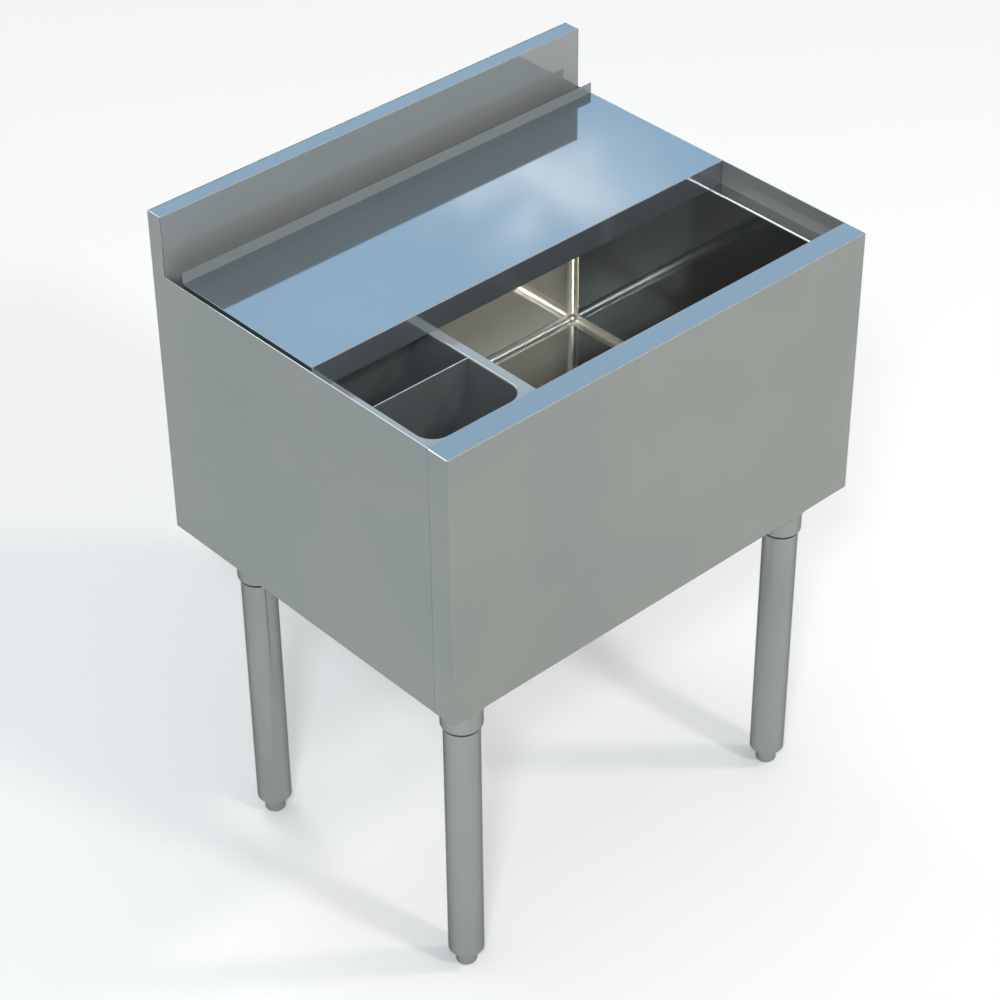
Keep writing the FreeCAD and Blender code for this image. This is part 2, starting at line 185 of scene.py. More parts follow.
def turn_faces(bm, direction, **planes):
    """Makes all faces agree, with those on the named planes towards the direction."""
    bmesh.ops.recalc_face_normals(bm, faces=bm.faces[:])
    bm.normal_update()
    if faces_on(bm, **planes)[0].normal.dot(Vector(direction)) < 0:
        bmesh.ops.reverse_faces(bm, faces=bm.faces[:])


def turned(outline, centre, closed=True):
    """Shape turned about an upright axis from (radius, height) points."""
    bm = bmesh.new()
    verts = [bm.verts.new((centre.x + radius, centre.y, height)) for radius, height in outline]
    edges = [bm.edges.new((verts[step], verts[step + 1])) for step in range(len(verts) - 1)]
    if closed:
        edges.append(bm.edges.new((verts[-1], verts[0])))
    bmesh.ops.spin(bm, geom=verts + edges, cent=(centre.x, centre.y, 0), axis=(0, 0, 1), dvec=(0, 0, 0),
                   angle=2 * math.pi, steps=TURN_STEPS, use_merge=True, use_duplicate=False)
    bmesh.ops.remove_doubles(bm, verts=bm.verts[:], dist=TOUCH / 4)
    bmesh.ops.recalc_face_normals(bm, faces=bm.faces[:])
    return bm


def rings(bm, centre, *places):
    """Circular edges of a turned shape at each (radius, height)."""
    found = []
    for radius, height in places:
        for edge in bm.edges:
            if all(abs((vert.co.xy - centre.xy).length - radius) < TOUCH
                   and abs(vert.co.z - height) < TOUCH for vert in edge.verts):
                found.append(edge)
    return found


def mesh_from(name, bm):
    """Mesh with the shape of bm, which is freed."""
    mesh = bpy.data.meshes.new(name)
    bm.to_mesh(mesh)
    bm.free()
    return mesh


def add_object(name, data):
    """New object in the scene."""
    obj = bpy.data.objects.new(name, data)
    bpy.context.scene.collection.objects.link(obj)
    return obj


def finish_mesh(obj, sheet, edge):
    """Sheet thickness, fine rounded edges and even shading."""
    if sheet:
        wall = obj.modifiers.new("sheet", "SOLIDIFY")
        wall.thickness = sheet
        wall.offset = -1.0
        wall.use_even_offset = True
    if edge:
        soften = obj.modifiers.new("edges", "BEVEL")
        soften.width = edge
        soften.segments = CHAMFER_STEPS
        soften.limit_method = "ANGLE"
        soften.angle_limit = EDGE_ANGLE
        soften.profile = 0.5
    even = obj.modifiers.new("shading", "WEIGHTED_NORMAL")
    even.keep_sharp = True


def is_curved(face):
    """True on coves and folds."""
    return max(abs(part) for part in face.normal) < FLAT_ABOVE


def is_top_fold(face):
    """True on folds that are seen from above."""
    return is_curved(face) and face.normal.z > SLANTED_ABOVE


def is_side_fold(face):
    """True on folds seen from above that run from front to rear."""
    return is_top_fold(face) and abs(face.normal.y) < SLANTED_ABOVE


def is_upward(face):
    """True on all that looks up."""
    return face.normal.z > UPWARD_ABOVE


def is_level(face):
    """True on flat tops."""
    return face.normal.z > FLAT_ABOVE


def is_frontal(face):
    """True on flat faces turned to the front."""
    return face.normal.y < -FLAT_ABOVE


def is_sideways(face):
    """True on flat faces turned to the left or right."""
    return abs(face.normal.x) > FLAT_ABOVE


def piece(name, bm, finish, stands_for, body="cabinet", sheet=0.0, edge=0.0, others=()):
    """Finished piece on a body in place of its nodes; others pairs a finish with a face test."""
    bm.normal_update()
    for index, (other, test) in enumerate(others, 1):
        for face in bm.faces:
            if test(face):
                face.material_index = index
    mesh = mesh_from(name, bm)
    mesh.shade_smooth()
    mesh.set_sharp_from_angle(angle=SHARP_ANGLE)
    mesh.materials.append(finish)
    for other, test in others:
        mesh.materials.append(other)
    obj = add_object(name, mesh)
    finish_mesh(obj, sheet, edge)
    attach(obj, body)
    if stands_for:
        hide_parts(*stands_for)
    return obj


# Material helpers
def brush_group():
    """Fine streaks and broad clouding of brushed sheet, from stretched coordinates."""
    group = bpy.data.node_groups.new("brush_marks", "ShaderNodeTree")
    sockets = group.interface
    sockets.new_socket("Streak Place", in_out="INPUT", socket_type="NodeSocketVector")
    sockets.new_socket("Cloud Place", in_out="INPUT", socket_type="NodeSocketVector")
    sockets.new_socket("Streaks", in_out="OUTPUT", socket_type="NodeSocketFloat")
    sockets.new_socket("Clouding", in_out="OUTPUT", socket_type="NodeSocketFloat")
    entry = group.nodes.new("NodeGroupInput")
    leave = group.nodes.new("NodeGroupOutput")
    fine = group.nodes.new("ShaderNodeTexNoise")
    fine.inputs["Scale"].default_value = 1.0
    fine.inputs["Detail"].default_value = 4.0
    fine.inputs["Roughness"].default_value = 0.65
    broad = group.nodes.new("ShaderNodeTexNoise")
    broad.inputs["Scale"].default_value = 1.0
    broad.inputs["Detail"].default_value = 2.0
    group.links.new(entry.outputs["Streak Place"], fine.inputs["Vector"])
    group.links.new(entry.outputs["Cloud Place"], broad.inputs["Vector"])
    group.links.new(fine.outputs["Fac"], leave.inputs["Streaks"])
    group.links.new(broad.outputs["Fac"], leave.inputs["Clouding"])
    return group


BRUSH = brush_group()
CLOUDING_SCALE = (6, 6, 6)
CLOUDING_SHARE = 0.7
STREAK_SHARE = 0.3
BRUSH_DEPTH = 0.003
BRUSH_RISE = 0.2 * MM
GRAIN_DEPTH = 0.15
GRAIN_RISE = 0.3 * MM


def spread(tree, source, low, high, first=0.3, last=0.7):
    """Maps a noise value onto a range."""
    node = tree.nodes.new("ShaderNodeMapRange")
    node.interpolation_type = "SMOOTHSTEP"
    node.inputs["From Min"].default_value = first
    node.inputs["From Max"].default_value = last
    node.inputs["To Min"].default_value = low
    node.inputs["To Max"].default_value = high
    tree.links.new(source, node.inputs["Value"])
    return node.outputs["Result"]


def tint(tree, factor, dark, light):
    """Colour between two shades."""
    node = tree.nodes.new("ShaderNodeMix")
    node.data_type = "RGBA"
    node.inputs["A"].default_value = (*dark, 1.0)
    node.inputs["B"].default_value = (*light, 1.0)
    tree.links.new(factor, node.inputs["Factor"])
    return node.outputs["Result"]


def mapped(tree, scale):
    """Object coordinates stretched along the brush direction."""
    place = tree.nodes.new("ShaderNodeTexCoord")
    node = tree.nodes.new("ShaderNodeMapping")
    node.inputs["Scale"].default_value = scale
    tree.links.new(place.outputs["Object"], node.inputs["Vector"])
    return node.outputs["Vector"]


def relief(tree, height, depth, rise):
    """Fine relief of the surface from a noise value."""
    bump = tree.nodes.new("ShaderNodeBump")
    bump.inputs["Strength"].default_value = depth
    bump.inputs["Distance"].default_value = rise
    tree.links.new(height, bump.inputs["Height"])
    return bump.outputs["Normal"]


def new_material(name):
    """Empty material with its surface shader; gives the material, tree and shader."""
    material = bpy.data.materials.new(name)
    material.use_nodes = True
    tree = material.node_tree
    return material, tree, tree.nodes["Principled BSDF"]


def steel(name, dark, light, rough, streak_scale, metal=1.0, rim=1.0):
    """Stainless steel with streaks along the brush direction, slow clouding and some haze."""
    material, tree, shader = new_material(name)
    brush = tree.nodes.new("ShaderNodeGroup")
    brush.node_tree = BRUSH
    tree.links.new(mapped(tree, streak_scale), brush.inputs["Streak Place"])
    tree.links.new(mapped(tree, CLOUDING_SCALE), brush.inputs["Cloud Place"])
    share = tree.nodes.new("ShaderNodeMath")
    share.operation = "MULTIPLY_ADD"
    share.inputs[1].default_value = STREAK_SHARE
    tree.links.new(brush.outputs["Streaks"], share.inputs[0])
    tree.links.new(spread(tree, brush.outputs["Clouding"], 0.0, CLOUDING_SHARE), share.inputs[2])
    tree.links.new(tint(tree, share.outputs["Value"], dark, light), shader.inputs["Base Color"])
    tree.links.new(spread(tree, brush.outputs["Streaks"], *rough), shader.inputs["Roughness"])
    tree.links.new(relief(tree, brush.outputs["Streaks"], BRUSH_DEPTH, BRUSH_RISE),
                   shader.inputs["Normal"])
    shader.inputs["Metallic"].default_value = metal
    shader.inputs["Specular Tint"].default_value = (rim, rim, rim, 1.0)
    return material


def moulded(name, dark, light, rough, grain):
    """Plain moulded or foamed material with a fine grain."""
    material, tree, shader = new_material(name)
    noise = tree.nodes.new("ShaderNodeTexNoise")
    noise.inputs["Scale"].default_value = grain
    noise.inputs["Detail"].default_value = 3.0
    tree.links.new(mapped(tree, (1, 1, 1)), noise.inputs["Vector"])
    tree.links.new(tint(tree, spread(tree, noise.outputs["Fac"], 0.0, 1.0), dark, light),
                   shader.inputs["Base Color"])
    tree.links.new(spread(tree, noise.outputs["Fac"], *rough), shader.inputs["Roughness"])
    tree.links.new(relief(tree, noise.outputs["Fac"], GRAIN_DEPTH, GRAIN_RISE), shader.inputs["Normal"])
    return material


# Finishes
UPRIGHT_BRUSH = (500, 500, 6)
CROSS_BRUSH = (6, 500, 500)
EVEN_GRAIN = (500, 500, 500)
panel_steel = steel("panel_steel", (0.234, 0.253, 0.237), (0.264, 0.277, 0.253),
                    rough=(0.22, 0.26), streak_scale=UPRIGHT_BRUSH, metal=0.65)
# Panel steel made bluer for the faces turned to the left or right: a painted cool light on the sides.
side_cool_lit_steel = steel("side_cool_lit_steel", (0.241, 0.271, 0.266), (0.269, 0.293, 0.284),
                   rough=(0.22, 0.26), streak_scale=UPRIGHT_BRUSH, metal=0.65)
# Smoother steel for the level tops, lighter and bluer than the panels: its finish is real, its tone
# partly a painted sky reflection.
sky_tinted_rail_steel = steel("sky_tinted_rail_steel", (0.316, 0.330, 0.348), (0.330, 0.344, 0.362),
                   rough=(0.05, 0.08), streak_scale=CROSS_BRUSH, metal=0.92)
splash_steel = steel("splash_steel", (0.270, 0.283, 0.278), (0.286, 0.299, 0.294),
                     rough=(0.04, 0.06), streak_scale=CROSS_BRUSH, metal=0.20)
# Splash steel made darker for the cover's turned-up lip: a painted shade.
shaded_lip_steel = steel("shaded_lip_steel", (0.236, 0.248, 0.240), (0.250, 0.262, 0.254),
                  rough=(0.04, 0.06), streak_scale=CROSS_BRUSH, metal=0.20)
# Cover and flange steel tinted blue: partly the steel's own tone, partly a painted sky reflection.
sky_tinted_cover_steel = steel("sky_tinted_cover_steel", (0.320, 0.352, 0.384), (0.340, 0.372, 0.404),
                    rough=(0.04, 0.06), streak_scale=CROSS_BRUSH, metal=0.86)
sky_tinted_flange_steel = steel("sky_tinted_flange_steel", (0.320, 0.352, 0.384), (0.340, 0.372, 0.404),
                     rough=(0.08, 0.12), streak_scale=CROSS_BRUSH, metal=0.78)
fold_steel = steel("fold_steel", (0.300, 0.318, 0.318), (0.318, 0.336, 0.336),
                   rough=(0.46, 0.52), streak_scale=EVEN_GRAIN, metal=0.7)
# Near-white steel on rounded top edges: a painted highlight line.
highlight_edge_steel = steel("highlight_edge_steel", (0.84, 0.83, 0.80), (0.88, 0.87, 0.84),
                   rough=(0.08, 0.12), streak_scale=EVEN_GRAIN, metal=0.4)
# Tank steel, lighter and warmer than the cabinet sheets: partly its own tone, partly painted light
# bounced round the tank and a painted warm reflection.
liner_steel = steel("liner_steel", (0.51, 0.475, 0.42), (0.54, 0.505, 0.45),
                    rough=(0.05, 0.08), streak_scale=UPRIGHT_BRUSH, metal=0.96)
# Pale, hazy steel for the tank's rear wall: painted light where the cover keeps it in shade.
lit_rear_wall_steel = steel("lit_rear_wall_steel", (0.91, 0.86, 0.73), (0.95, 0.90, 0.77),
                        rough=(0.05, 0.08), streak_scale=UPRIGHT_BRUSH, metal=0.44)
# Dark bluish steel for the tank's end walls: painted shade with a painted bluish reflection.
shaded_end_wall_steel = steel("shaded_end_wall_steel", (0.212, 0.240, 0.280), (0.232, 0.260, 0.300),
                       rough=(0.05, 0.08), streak_scale=UPRIGHT_BRUSH, metal=0.95)
# Near-white, rougher steel for the tank's coves and mouth folds: painted highlight lines.
highlight_cove_steel = steel("highlight_cove_steel", (0.95, 0.90, 0.80), (0.98, 0.93, 0.83),
                   rough=(0.32, 0.37), streak_scale=EVEN_GRAIN, metal=0.95)
well_steel = steel("well_steel", (0.405, 0.428, 0.430), (0.432, 0.455, 0.457),
                   rough=(0.12, 0.16), streak_scale=CROSS_BRUSH, metal=0.8)
# Well steel with its own warmer tone and more haze for faces that look up: painted light on the flange
# and the divider top.
top_lit_well_rim_steel = steel("top_lit_well_rim_steel", (0.362, 0.356, 0.344), (0.380, 0.374, 0.361),
                       rough=(0.12, 0.16), streak_scale=CROSS_BRUSH, metal=0.5)
tube_steel = steel("tube_steel", (0.278, 0.299, 0.286), (0.324, 0.339, 0.326),
                   rough=(0.16, 0.20), streak_scale=UPRIGHT_BRUSH, metal=0.8, rim=0.35)
cast_steel = steel("cast_steel", (0.282, 0.304, 0.290), (0.320, 0.336, 0.321),
                   rough=(0.22, 0.28), streak_scale=EVEN_GRAIN, metal=0.8, rim=0.35)
plain_steel = steel("plain_steel", (0.30, 0.30, 0.30), (0.36, 0.36, 0.36), (0.35, 0.5), EVEN_GRAIN)
plated = steel("plated", (0.52, 0.52, 0.51), (0.58, 0.58, 0.57), (0.12, 0.2), EVEN_GRAIN)
foam = moulded("foam", (0.78, 0.70, 0.46), (0.90, 0.83, 0.60), (0.8, 0.95), 400)
nylon = moulded("nylon", (0.03, 0.03, 0.03), (0.06, 0.06, 0.06), (0.45, 0.6), 600)
# Near-black rubber for the drain gasket; the same finish paints the shadow ring under each socket.
gasket_rubber_and_shadow = moulded("gasket_rubber_and_shadow", (0.015, 0.015, 0.015), (0.03, 0.03, 0.03), (0.6, 0.75), 900)


# Cabinet sheets
def front_panel():
    """Front sheet wrapped round both corners, with the rail folded along its top."""
    bm = bmesh.new()
    seam = front + CORNER_RETURN
    open_block(bm, (left, front, body_bottom), (right, seam, body_top), y=seam, z=body_bottom)
    for step in ((0, RAIL_STEP, 0), (0, rail_rear - seam - RAIL_STEP, 0)):
        rail = [edge for edge in edges_on(bm, z=body_top) if len(edge.link_faces) == 1
                and abs(edge.verts[0].co.y - edge.verts[1].co.y) < TOUCH
                and edge.verts[0].co.y > front + TOUCH]
        for vert in pull_edges(bm, rail, step):
            vert.co.x = min(max(vert.co.x, inner_left), inner_right)
    pull_edges(bm, edges_on(bm, y=rail_rear, z=body_top), (0, 0, ledge - LINER_SHEET - body_top))
    turn_faces(bm, (0, -1, 0), y=front)
    folds = edges_on(bm, y=front, z=body_top) + edges_on(bm, y=rail_rear, z=body_top)
    for x in (left, right):
        folds += edges_on(bm, x=x, y=front) + edges_on(bm, x=x, z=body_top)
    round_edges(bm, folds, PANEL_FOLD, FOLD_STEPS)
    # The faces turned sideways take a bluer copy of the panel steel, a painted cool light.
    # The front-to-rear corner folds take near-white steel, a painted highlight.
    # The level rail top takes a lighter, bluer steel, partly a painted sky reflection.
    return piece("front_panel_sheet", bm, panel_steel, ["front_panel"], sheet=PANEL_SHEET,
                 others=[(sky_tinted_rail_steel, is_level), (side_cool_lit_steel, is_sideways), (fold_steel, is_top_fold),
                         (highlight_edge_steel, is_side_fold)])


def side_panel(side, outer, inner):
    """Flat side sheet with the ear that closes the end of the backsplash."""
    bm = bmesh.new()
    seam = front + CORNER_RETURN + SEAM_GAP
    outline = [(seam, body_bottom), (rear, body_bottom), (rear, splash_top), (splash_front, splash_top),
               (splash_front, body_top), (seam, body_top)]
    face = bm.faces.new([bm.verts.new((outer, y, z)) for y, z in outline])
    made = bmesh.ops.extrude_face_region(bm, geom=[face])["geom"]
    verts = [item for item in made if isinstance(item, bmesh.types.BMVert)]
    bmesh.ops.translate(bm, verts=verts, vec=(inner - outer, 0, 0))
    bmesh.ops.recalc_face_normals(bm, faces=bm.faces[:])
    round_edges(bm, bm.edges[:], SIDE_EDGE, EDGE_STEPS)
    node = side + "_side_panel"

    def faces_in(face):
        """True on the side towards the tank."""
        return face.normal.x * (inner - outer) > FLAT_ABOVE * abs(inner - outer)

    # The outer face takes the bluer painted cool light.
    # The top edge takes near-white steel, a painted highlight line.
    return piece(node + "_sheet", bm, side_cool_lit_steel, [node],
                 others=[(splash_steel, faces_in), (highlight_edge_steel, is_level)])


def backsplash():
    """Folded channel between the ears."""
    bm = bmesh.new()
    outline = [(splash_front, splash_low.z), (splash_front, splash_top), (splash_high.y, splash_top),
               (splash_high.y, splash_top - SPLASH_RETURN)]
    verts = [bm.verts.new((inner_left, y, z)) for y, z in outline]
    edges = [bm.edges.new((verts[step], verts[step + 1])) for step in range(len(verts) - 1)]
    pull_edges(bm, edges, (inner_right - inner_left, 0, 0))
    turn_faces(bm, (0, -1, 0), y=splash_front)
    folds = edges_on(bm, y=splash_front, z=splash_top) + edges_on(bm, y=splash_high.y, z=splash_top)
    round_edges(bm, folds, PANEL_FOLD, FOLD_STEPS)
    # The level top takes the lighter, bluer steel, partly a painted sky reflection.
    return piece("backsplash_sheet", bm, splash_steel, ["backsplash"],
                 sheet=PANEL_SHEET, edge=SHEET_EDGE,
                 others=[(sky_tinted_rail_steel, is_level), (fold_steel, is_top_fold)])


def back_panel():
    """Flat sheet behind the tank and the backsplash."""
    bm = bmesh.new()
    block(bm, back_low, back_high)
    round_edges(bm, bm.edges[:], SIDE_EDGE, EDGE_STEPS)
    return piece("back_panel_sheet", bm, panel_steel, ["back_panel"])


def bottom_tray():
    """Shallow tray that closes the body from below."""
    bm = bmesh.new()
    open_block(bm, tray_low, tray_high, z=tray_high.z)
    turn_faces(bm, (0, 0, -1), z=tray_low.z)
    round_edges(bm, edges_on(bm, z=tray_low.z) + upright_edges(bm), PANEL_FOLD, FOLD_STEPS)
    return piece("bottom_tray", bm, panel_steel, ["bottom_panel"],
                 sheet=PANEL_SHEET, edge=SHEET_EDGE)


# Tank, bottle well and cover
def coved_tank(bm, low, high, corner, cove):
    """Open tank with rounded upright corners, a coved floor and its mouth folded outward."""
    wall_top = high[2] - MOUTH_FOLD
    open_block(bm, low, (high[0], high[1], wall_top), z=wall_top)
    round_edges(bm, upright_edges(bm), corner, CORNER_STEPS)
    round_edges(bm, edges_on(bm, z=low[2]), cove, COVE_STEPS)
    core = [(low[axis] + corner, high[axis] - corner) for axis in (0, 1)]
    for step in range(1, FOLD_STEPS + 2):
        turn = QUARTER_TURN * min(step, FOLD_STEPS) / FOLD_STEPS
        reach = MOUTH_FOLD * (1 - math.cos(turn))
        if step > FOLD_STEPS:
            reach += MOUTH_FOLD
        rim = [edge for edge in bm.edges if edge.is_boundary and edge.verts[0].co.z > wall_top - TOUCH]
        for vert in pull_edges(bm, rim, (0, 0, 0)):
            heart = Vector([min(max(vert.co[axis], core[axis][0]), core[axis][1]) for axis in (0, 1)])
            outward = (vert.co.xy - heart).normalized()
            vert.co.xy = heart + outward * (corner + reach)
            vert.co.z = wall_top + MOUTH_FOLD * math.sin(turn)


def fill_between(bm, inner, outer):
    """Flat sheet between two loops of edges."""
    bmesh.ops.triangle_fill(bm, edges=inner + outer, use_beauty=True)


def ice_liner():
    """Coved tank with its ledge and the hole for the drain."""
    bm = bmesh.new()
    coved_tank(bm, (tank_left, tank_front, tank_floor), (tank_right, tank_rear, ledge),
               LINER_COVE, LINER_FLOOR_COVE)
    bmesh.ops.delete(bm, geom=faces_on(bm, z=tank_floor), context="FACES_ONLY")
    floor_loop = edges_on(bm, z=tank_floor)
    drain = middle_of("drain_body")
    hole = bmesh.ops.create_circle(bm, cap_ends=False, radius=DRAIN_HOLE / 2, segments=HOLE_STEPS,
                                   matrix=Matrix.Translation((drain.x, drain.y, tank_floor)))["verts"]
    hole_loop = [edge for edge in bm.edges if all(vert in hole for vert in edge.verts)]
    fill_between(bm, floor_loop, hole_loop)
    rim = [edge for edge in edges_on(bm, z=ledge) if edge.is_boundary]
    outer = rectangle(bm, (inner_left, rail_rear), (inner_right, splash_front), ledge)
    fill_between(bm, rim, outer)
    turn_faces(bm, (0, 0, 1), z=tank_floor)
    # Coves and mouth folds take near-white steel, painted highlight lines.
    # The end walls take dark bluish steel, painted shade and a painted bluish reflection.
    # The rear wall takes pale hazy steel, painted light in the cover's shade.
    # The tank's lighter, warmer steel is partly painted light and a painted warm reflection.
    return piece("ice_liner_sheet", bm, liner_steel, ["ice_liner"],
                 sheet=LINER_SHEET, edge=SHEET_EDGE,
                 others=[(highlight_cove_steel, is_curved), (lit_rear_wall_steel, is_frontal),
                         (shaded_end_wall_steel, is_sideways)])


well_left = tank_left + WELL_LEFT_FLANGE
well_right = well_high.x - WELL_FLANGE
well_front = tank_front + WELL_FLANGE
well_rear = well_high.y - WELL_FLANGE
well_floor = well_low.z + LINER_SHEET
well_top = ledge + WELL_STAND


def bottle_well():
    """Double bottle well hung from its flange, with the edges on the ice side turned down."""
    bm = bmesh.new()
    coved_tank(bm, (well_left, well_front, well_floor), (well_right, well_rear, well_top),
               WELL_CORNER, WELL_COVE)
    rim = [edge for edge in edges_on(bm, z=well_top) if edge.is_boundary]
    outer = rectangle(bm, (tank_left - WELL_LAP, tank_front - WELL_LAP), (well_high.x, well_high.y),
                      well_top)
    fill_between(bm, rim, outer)
    hem = edges_on(bm, x=well_high.x, z=well_top) + edges_on(bm, y=well_high.y, z=well_top)
    pull_edges(bm, hem, (0, 0, -WELL_HEM))
    turn_faces(bm, (0, 0, 1), z=well_floor)
    folds = edges_on(bm, x=well_high.x, z=well_top) + edges_on(bm, y=well_high.y, z=well_top)
    round_edges(bm, folds, PANEL_FOLD, FOLD_STEPS)

    def on_rim(face):
        """True on the flange and its folds."""
        return face.calc_center_median().z > well_top - MOUTH_FOLD

    # The flange and its folds take a separate tone, painted light on the faces that look up.
    return piece("bottle_well_sheet", bm, well_steel, ["bottle_well"],
                 sheet=LINER_SHEET, edge=SHEET_EDGE, others=[(top_lit_well_rim_steel, on_rim)])


def bottle_divider():
    """Upright plate that parts the well, with a rounded top edge."""
    bm = bmesh.new()
    low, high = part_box("bottle_divider")
    top = ledge - DIVIDER_DROP
    block(bm, low, (high.x, high.y, top))
    bottom_corners = edges_on(bm, x=low.x, z=low.z) + edges_on(bm, x=high.x, z=low.z)
    round_edges(bm, bottom_corners, WELL_COVE, ROUND_STEPS)
    top_edges = edges_on(bm, y=low.y, z=top) + edges_on(bm, y=high.y, z=top)
    round_edges(bm, top_edges, DIVIDER_ROUND, FOLD_STEPS)
    # The upward faces take the same separate tone, painted light on the top.
    return piece("bottle_divider_plate", bm, well_steel, ["bottle_divider"],
                 others=[(top_lit_well_rim_steel, is_upward)])


def sliding_cover():
    """Shallow inverted pan with its rear edge turned up."""
    bm = bmesh.new()
    top = cover_high.z - COVER_LIP
    lip = cover_high.y - LINER_SHEET
    open_block(bm, cover_low, (cover_high.x, lip, top), z=cover_low.z, y=lip)
    pull_edges(bm, edges_on(bm, y=lip, z=top), (0, 0, COVER_LIP))
    turn_faces(bm, (0, -1, 0), y=cover_low.y)
    folds = edges_on(bm, y=cover_low.y, z=top) + edges_on(bm, y=lip, z=top)
    for x in (cover_low.x, cover_high.x):
        folds += edges_on(bm, x=x, z=top) + edges_on(bm, x=x, y=cover_low.y)
    round_edges(bm, folds, COVER_FOLD, FOLD_STEPS)

    def on_lip(face):
        """True on the turned-up rear edge."""
        return face.calc_center_median().z > top + COVER_FOLD

    # The turned-up lip takes a darker copy of the splash steel, a painted shade.
    # Top and front flange take blue-tinted steel, partly a painted sky reflection.
    return piece("sliding_cover_pan", bm, sky_tinted_cover_steel, ["sliding_cover"], body="cover",
                 sheet=LINER_SHEET, edge=SHEET_EDGE,
                 others=[(fold_steel, is_curved), (sky_tinted_flange_steel, is_frontal), (shaded_lip_steel, on_lip)])


front_panel()
side_panel("left", left, inner_left)
side_panel("right", right, inner_right)
backsplash()
back_panel()
bottom_tray()
ice_liner()
bottle_well()
bottle_divider()
sliding_cover()

# Legs, sockets and feet
SOCKET_WALL = 3 * MM
SOCKET_ROOF = 4 * MM
SOCKET_FLARE = 6 * MM
SOCKET_FIT = 0.15 * MM
SOCKET_LIP = 2.2 * MM
BOLT_HOLE = 5.3 * MM
LEG_WALL = 1.5 * MM
LEG_CHAMFER = 0.6 * MM
FOOT_ROUND = 2 * MM
FOOT_HEIGHT = 21.2 * MM
STEM = 6 * MM
# Size of the dark ring that paints the shadow under each socket's lip.
SHADOW_RING_HEIGHT = 3.4 * MM
SHADOW_RING_PROUD = 0.4 * MM


def socket_piece(place):
    """Cup under the body with a flared top and a rounded lip, trimmed to the front and left faces."""
    axis = middle_of("leg_" + place)
    low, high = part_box("socket_" + place)
    bore = radius_of("leg_" + place) + SOCKET_FIT
    outer = bore + SOCKET_WALL
    waist = high.z - SOCKET_FLARE
    turns = [QUARTER_TURN * step / ROUND_STEPS for step in range(ROUND_STEPS + 1)]
    arc = [(outer + SOCKET_FLARE * (1 - math.cos(turn)), waist + SOCKET_FLARE * math.sin(turn))
           for turn in turns]
    outline = [(bore, low.z), (outer, low.z), *arc, (BOLT_HOLE, high.z),
               (BOLT_HOLE, high.z - SOCKET_ROOF), (bore, high.z - SOCKET_ROOF)]
    bm = turned(outline, axis)
    round_edges(bm, rings(bm, axis, (outer, low.z)), SOCKET_LIP, EDGE_STEPS)
    for point, normal in (((0, front, 0), (0, -1, 0)), ((left, 0, 0), (-1, 0, 0))):
        bmesh.ops.bisect_plane(bm, geom=bm.verts[:] + bm.edges[:] + bm.faces[:], dist=TOUCH / 10,
                               plane_co=point, plane_no=normal, clear_outer=True)
    bmesh.ops.holes_fill(bm, edges=[edge for edge in bm.edges if edge.is_boundary], sides=0)
    return piece("socket_cup_" + place, bm, cast_steel, ["socket_" + place])


def shadow_ring_piece(place):
    """Dark ring in the seam between a leg and the lip of its socket: a painted shadow line."""
    axis = middle_of("leg_" + place)
    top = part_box("socket_" + place)[0].z
    inner = radius_of("leg_" + place)
    outer = inner + SHADOW_RING_PROUD
    outline = [(inner, top - SHADOW_RING_HEIGHT), (outer, top - SHADOW_RING_HEIGHT), (outer, top), (inner, top)]
    bm = turned(outline, axis)
    return piece("socket_shadow_ring_" + place, bm, gasket_rubber_and_shadow, [])


def leg_piece(place):
    """Leg tube with its lower end eased."""
    axis = middle_of("leg_" + place)
    low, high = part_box("leg_" + place)
    radius = radius_of("leg_" + place)
    inner = radius - LEG_WALL
    bm = turned([(radius, low.z), (radius, high.z), (inner, high.z), (inner, low.z)], axis)
    round_edges(bm, rings(bm, axis, (radius, low.z), (inner, low.z)), LEG_CHAMFER, CHAMFER_STEPS)
    return piece("leg_tube_" + place, bm, tube_steel, ["leg_" + place])


def foot_piece(place):
    """Levelling foot with its stem."""
    axis = middle_of("foot_" + place)
    low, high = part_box("foot_" + place)
    radius = radius_of("foot_" + place)
    shoulder = low.z + FOOT_HEIGHT
    outline = [(0, low.z), (radius, low.z), (radius, shoulder), (STEM, shoulder), (STEM, high.z),
               (0, high.z)]
    bm = turned(outline, axis, closed=False)
    round_edges(bm, rings(bm, axis, (radius, low.z)), FOOT_ROUND, ROUND_STEPS)
    round_edges(bm, rings(bm, axis, (radius, shoulder), (STEM, high.z)), LEG_CHAMFER, CHAMFER_STEPS)
    return piece("levelling_foot_" + place, bm, tube_steel, ["foot_" + place],
                 body=place + "_foot")


for place in PLACES:
    socket_piece(place)
    # Dark ring under each socket, a painted shadow line.
    shadow_ring_piece(place)
    leg_piece(place)
    foot_piece(place)

# Finishes of the nodes that stay
NODE_FINISHES = {
    foam: ["foam_front", "foam_rear", "foam_left", "foam_right", "foam_floor"],
    plain_steel: ["leg_bar_left", "leg_bar_right", "socket_bolts", "socket_nuts", "socket_set_screws"],
    plated: ["drain_body", "drain_strainer", "drain_washer", "drain_locknut"],
    nylon: ["insert_" + place for place in PLACES],
    gasket_rubber_and_shadow: ["drain_gasket"],
}
for finish, names in NODE_FINISHES.items():
    for name in names:
        nodes[name].data.materials.clear()
        nodes[name].data.materials.append(finish)


# Stage: floor, sky dome and lamps
FLOOR_SIZE = 24.0
FLOOR_COLOUR = (0.95, 0.95, 0.95)


def floor():
    """Plain pale floor."""
    bm = bmesh.new()
    bmesh.ops.create_grid(bm, x_segments=1, y_segments=1, size=FLOOR_SIZE / 2)
    mesh = mesh_from("floor", bm)
    material, tree, shader = new_material("floor_paint")
    shader.inputs["Base Color"].default_value = (*FLOOR_COLOUR, 1.0)
    shader.inputs["Roughness"].default_value = 0.9
    mesh.materials.append(material)
    add_object("floor", mesh)


